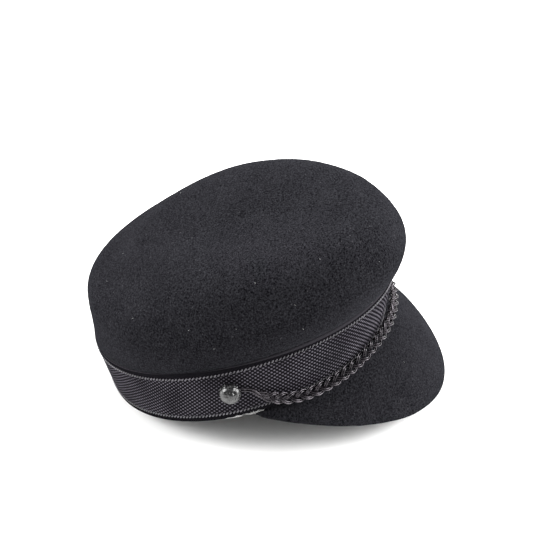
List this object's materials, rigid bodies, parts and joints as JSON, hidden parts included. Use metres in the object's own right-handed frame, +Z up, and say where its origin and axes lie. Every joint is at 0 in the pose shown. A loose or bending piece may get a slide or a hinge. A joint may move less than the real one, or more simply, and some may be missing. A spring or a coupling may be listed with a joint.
{
  "type": "sailor cap",
  "caption": "Black felt sailor cap: hollow crown, woven ribbon round the band, sloping felt peak, plaited cord between two domed buttons.",
  "frame": {"origin": "middle of the cap's footprint, on the surface that it rests on", "axes": "+Z up, -Y towards the front with the peak, -X the wearer's right; the cap is tipped back as it lies by itself"},
  "size_m": [0.1982, 0.2614, 0.1477],
  "materials": {
    "felt": "matt wool felt",
    "ribbon": "woven, slight sheen",
    "cord": "twisted cord, satin sheen",
    "button": "glossy"
  },
  "bodies": {
    "root": {"crown": "felt", "peak": "felt", "ribbon_band": "ribbon", "braid": "cord", "button_right": "button", "button_left": "button"}
  },
  "joints": []
}
